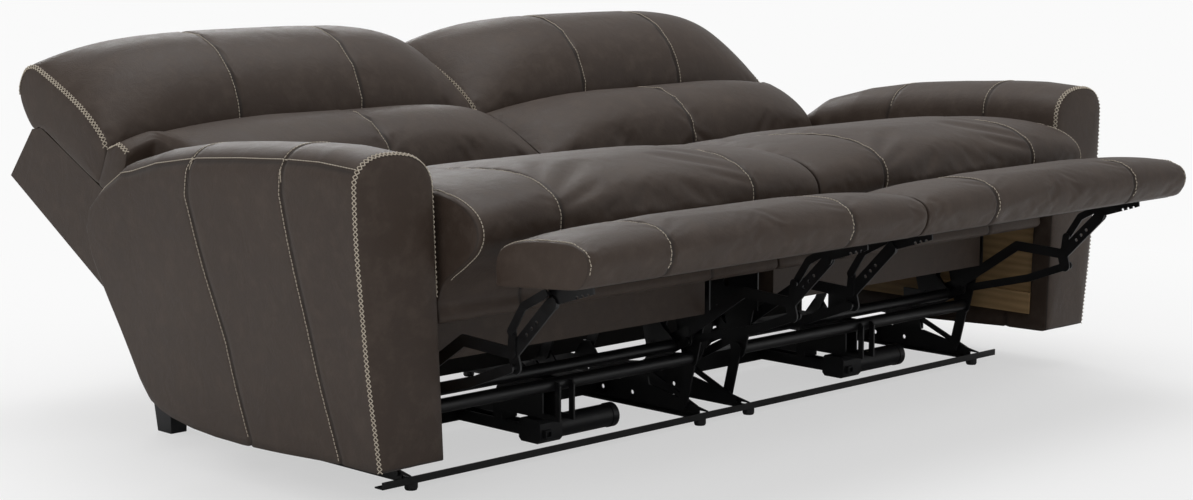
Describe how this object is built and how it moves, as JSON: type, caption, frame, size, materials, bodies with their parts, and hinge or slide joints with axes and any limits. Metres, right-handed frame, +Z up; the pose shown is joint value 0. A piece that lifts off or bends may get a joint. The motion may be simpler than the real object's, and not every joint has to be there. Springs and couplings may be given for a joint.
{
  "type": "power reclining sofa",
  "caption": "Reclining leather sofa with separate seats, padded arms, folding footrests, scissor steel mechanism and power drives, stored fully reclined.",
  "frame": {"origin": "centre of the bounding box in X and Y, at floor level", "axes": "+X along the sofa to the right arm as seen from the front, +Y from the footrests to the backs, +Z up"},
  "size_m": [2.25, 1.6922, 0.8022],
  "materials": {
    "leather": "semi-matt top-grain leather over foam, beige contrast stitching",
    "back_shell": "leather-covered plywood box",
    "black_steel": "black powder coat, satin",
    "actuator_black": "black moulded plastic over steel",
    "spring_steel": "oiled spring wire",
    "black_plastic": "matt moulded plastic",
    "switch_plate": "matt moulded plastic",
    "switch_key": "matt moulded plastic",
    "frame_wood": "unfinished plywood and softwood"
  },
  "bodies": {
    "base": {"front_floor_bar": "black_steel", "floor_glides": "black_plastic", "rear_feet": "black_plastic", "base_cross_tubes": "black_steel", "rear_board": "frame_wood", "right_actuator": "actuator_black", "left_actuator": "actuator_black", "right_base_rails": "black_steel", "left_base_rails": "black_steel", "right_arm_frame": "frame_wood", "left_arm_frame": "frame_wood", "right_arm_cover": "leather", "left_arm_cover": "leather", "right_switch_housing": "switch_plate", "left_switch_housing": "switch_plate"},
    "left_swing": {"left_front_swing_frame": "black_steel"},
    "left_rear": {"left_rear_swing_links": "black_steel"},
    "left_carriage": {"left_seat_carriage": "black_steel", "left_seat_frame": "frame_wood", "left_seat_springs": "spring_steel", "left_seat_cushion": "leather"},
    "left_back": {"left_back_frame": "back_shell", "left_back_brackets": "black_steel", "left_head_bolster": "leather", "left_lumbar_bolster": "leather"},
    "left_crank": {"left_footrest_crank": "black_steel"},
    "left_long": {"left_footrest_long_links": "black_steel"},
    "left_lower": {"left_footrest_lower_links": "black_steel"},
    "left_stay": {"left_footrest_stay_links": "black_steel"},
    "left_ottlink": {"left_ottoman_links": "black_steel"},
    "left_control": {"left_ottoman_control_links": "black_steel"},
    "left_ottoman": {"left_ottoman_brackets": "black_steel", "left_ottoman_board": "frame_wood", "left_ottoman_cushion": "leather"},
    "left_nut": {"left_drive_nut": "black_steel", "left_drive_fork": "black_steel"},
    "left_rocker": {"left_switch_rocker": "switch_key"},
    "right_swing": {"right_front_swing_frame": "black_steel"},
    "right_rear": {"right_rear_swing_links": "black_steel"},
    "right_carriage": {"right_seat_carriage": "black_steel", "right_seat_frame": "frame_wood", "right_seat_springs": "spring_steel", "right_seat_cushion": "leather"},
    "right_back": {"right_back_frame": "back_shell", "right_back_brackets": "black_steel", "right_head_bolster": "leather", "right_lumbar_bolster": "leather"},
    "right_crank": {"right_footrest_crank": "black_steel"},
    "right_long": {"right_footrest_long_links": "black_steel"},
    "right_lower": {"right_footrest_lower_links": "black_steel"},
    "right_stay": {"right_footrest_stay_links": "black_steel"},
    "right_ottlink": {"right_ottoman_links": "black_steel"},
    "right_control": {"right_ottoman_control_links": "black_steel"},
    "right_ottoman": {"right_ottoman_brackets": "black_steel", "right_ottoman_board": "frame_wood", "right_ottoman_cushion": "leather"},
    "right_nut": {"right_drive_nut": "black_steel", "right_drive_fork": "black_steel"},
    "right_rocker": {"right_switch_rocker": "switch_key"}
  },
  "joints": [
    {"name": "left_back_recline", "type": "hinge", "parent": "left_carriage", "child": "left_back", "pos_m": [-0.4715, 0.32906, 0.33], "axis": [1, 0, 0], "range_deg": [0, 39.1]},
    {"name": "left_front_swing", "type": "hinge", "parent": "base", "child": "left_swing", "pos_m": [-0.4715, -0.25544, 0.0368], "axis": [1, 0, 0], "range_deg": [-72.01, 0]},
    {"name": "left_seat_tilt", "type": "hinge", "parent": "left_swing", "child": "left_carriage", "pos_m": [-0.4715, -0.28094, 0.14], "axis": [1, 0, 0], "range_deg": [0, 76.01]},
    {"name": "left_rear_swing", "type": "hinge", "parent": "base", "child": "left_rear", "pos_m": [-0.4715, 0.17256, 0.0852], "axis": [1, 0, 0], "range_deg": [-72.01, 0]},
    {"name": "left_crank_turn", "type": "hinge", "parent": "left_carriage", "child": "left_crank", "pos_m": [-0.4715, -0.17594, 0.146], "axis": [1, 0, 0], "range_deg": [-83.35, 0]},
    {"name": "left_long_link_turn", "type": "hinge", "parent": "left_crank", "child": "left_long", "pos_m": [-0.4715, -0.29094, 0.198], "axis": [1, 0, 0], "range_deg": [0, 118.59]},
    {"name": "left_lower_link_turn", "type": "hinge", "parent": "left_crank", "child": "left_lower", "pos_m": [-0.4715, -0.28724, 0.1804], "axis": [1, 0, 0], "range_deg": [0, 118.02]},
    {"name": "left_stay_link_turn", "type": "hinge", "parent": "left_carriage", "child": "left_stay", "pos_m": [-0.4715, -0.15984, 0.1099], "axis": [1, 0, 0], "range_deg": [-76.22, 0]},
    {"name": "left_ottoman_link_turn", "type": "hinge", "parent": "left_long", "child": "left_ottlink", "pos_m": [-0.4715, -0.57394, 0.294], "axis": [1, 0, 0], "range_deg": [-74.25, 0]},
    {"name": "left_control_link_turn", "type": "hinge", "parent": "left_long", "child": "left_control", "pos_m": [-0.4715, -0.57864, 0.3337], "axis": [1, 0, 0], "range_deg": [-80.99, 0]},
    {"name": "left_ottoman_turn", "type": "hinge", "parent": "left_ottlink", "child": "left_ottoman", "pos_m": [-0.4715, -0.67394, 0.394], "axis": [1, 0, 0], "range_deg": [0, 129.01]},
    {"name": "left_drive_slide", "type": "slide", "parent": "base", "child": "left_nut", "axis": [0, 1, 0], "range_m": [0, 0.11578]},
    {"name": "left_switch_rock", "type": "hinge", "parent": "base", "child": "left_rocker", "pos_m": [-0.9463, -0.35594, 0.52], "axis": [0, 0, 1], "range_deg": [-6, 6], "stiffness_Nm_per_rad": 0.4},
    {"name": "right_back_recline", "type": "hinge", "parent": "right_carriage", "child": "right_back", "pos_m": [0.4715, 0.32906, 0.33], "axis": [1, 0, 0], "range_deg": [0, 39.1]},
    {"name": "right_front_swing", "type": "hinge", "parent": "base", "child": "right_swing", "pos_m": [0.4715, -0.25544, 0.0368], "axis": [1, 0, 0], "range_deg": [-72.01, 0]},
    {"name": "right_seat_tilt", "type": "hinge", "parent": "right_swing", "child": "right_carriage", "pos_m": [0.4715, -0.28094, 0.14], "axis": [1, 0, 0], "range_deg": [0, 76.01]},
    {"name": "right_rear_swing", "type": "hinge", "parent": "base", "child": "right_rear", "pos_m": [0.4715, 0.17256, 0.0852], "axis": [1, 0, 0], "range_deg": [-72.01, 0]},
    {"name": "right_crank_turn", "type": "hinge", "parent": "right_carriage", "child": "right_crank", "pos_m": [0.4715, -0.17594, 0.146], "axis": [1, 0, 0], "range_deg": [-83.35, 0]},
    {"name": "right_long_link_turn", "type": "hinge", "parent": "right_crank", "child": "right_long", "pos_m": [0.4715, -0.29094, 0.198], "axis": [1, 0, 0], "range_deg": [0, 118.59]},
    {"name": "right_lower_link_turn", "type": "hinge", "parent": "right_crank", "child": "right_lower", "pos_m": [0.4715, -0.28724, 0.1804], "axis": [1, 0, 0], "range_deg": [0, 118.02]},
    {"name": "right_stay_link_turn", "type": "hinge", "parent": "right_carriage", "child": "right_stay", "pos_m": [0.4715, -0.15984, 0.1099], "axis": [1, 0, 0], "range_deg": [-76.22, 0]},
    {"name": "right_ottoman_link_turn", "type": "hinge", "parent": "right_long", "child": "right_ottlink", "pos_m": [0.4715, -0.57394, 0.294], "axis": [1, 0, 0], "range_deg": [-74.25, 0]},
    {"name": "right_control_link_turn", "type": "hinge", "parent": "right_long", "child": "right_control", "pos_m": [0.4715, -0.57864, 0.3337], "axis": [1, 0, 0], "range_deg": [-80.99, 0]},
    {"name": "right_ottoman_turn", "type": "hinge", "parent": "right_ottlink", "child": "right_ottoman", "pos_m": [0.4715, -0.67394, 0.394], "axis": [1, 0, 0], "range_deg": [0, 129.01]},
    {"name": "right_drive_slide", "type": "slide", "parent": "base", "child": "right_nut", "axis": [0, 1, 0], "range_m": [0, 0.11578]},
    {"name": "right_switch_rock", "type": "hinge", "parent": "base", "child": "right_rocker", "pos_m": [0.9463, -0.35594, 0.52], "axis": [0, 0, 1], "range_deg": [-6, 6], "stiffness_Nm_per_rad": 0.4}
  ],
  "couplings": [
    {"joint": "left_front_swing", "follows": "left_back_recline", "ratio": -1.8414},
    {"joint": "left_seat_tilt", "follows": "left_back_recline", "ratio": 1.9437},
    {"joint": "left_rear_swing", "follows": "left_back_recline", "ratio": -1.8414},
    {"joint": "left_crank_turn", "follows": "left_back_recline", "ratio": -2.1314},
    {"joint": "left_long_link_turn", "follows": "left_back_recline", "ratio": 3.0328},
    {"joint": "left_lower_link_turn", "follows": "left_back_recline", "ratio": 3.0181},
    {"joint": "left_stay_link_turn", "follows": "left_back_recline", "ratio": -1.9491},
    {"joint": "left_ottoman_link_turn", "follows": "left_back_recline", "ratio": -1.8988},
    {"joint": "left_control_link_turn", "follows": "left_back_recline", "ratio": -2.0711},
    {"joint": "left_ottoman_turn", "follows": "left_back_recline", "ratio": 3.2992},
    {"joint": "left_drive_slide", "follows": "left_back_recline", "m_per_rad": 0.16964},
    {"joint": "right_front_swing", "follows": "right_back_recline", "ratio": -1.8414},
    {"joint": "right_seat_tilt", "follows": "right_back_recline", "ratio": 1.9437},
    {"joint": "right_rear_swing", "follows": "right_back_recline", "ratio": -1.8414},
    {"joint": "right_crank_turn", "follows": "right_back_recline", "ratio": -2.1314},
    {"joint": "right_long_link_turn", "follows": "right_back_recline", "ratio": 3.0328},
    {"joint": "right_lower_link_turn", "follows": "right_back_recline", "ratio": 3.0181},
    {"joint": "right_stay_link_turn", "follows": "right_back_recline", "ratio": -1.9491},
    {"joint": "right_ottoman_link_turn", "follows": "right_back_recline", "ratio": -1.8988},
    {"joint": "right_control_link_turn", "follows": "right_back_recline", "ratio": -2.0711},
    {"joint": "right_ottoman_turn", "follows": "right_back_recline", "ratio": 3.2992},
    {"joint": "right_drive_slide", "follows": "right_back_recline", "m_per_rad": 0.16964}
  ]
}
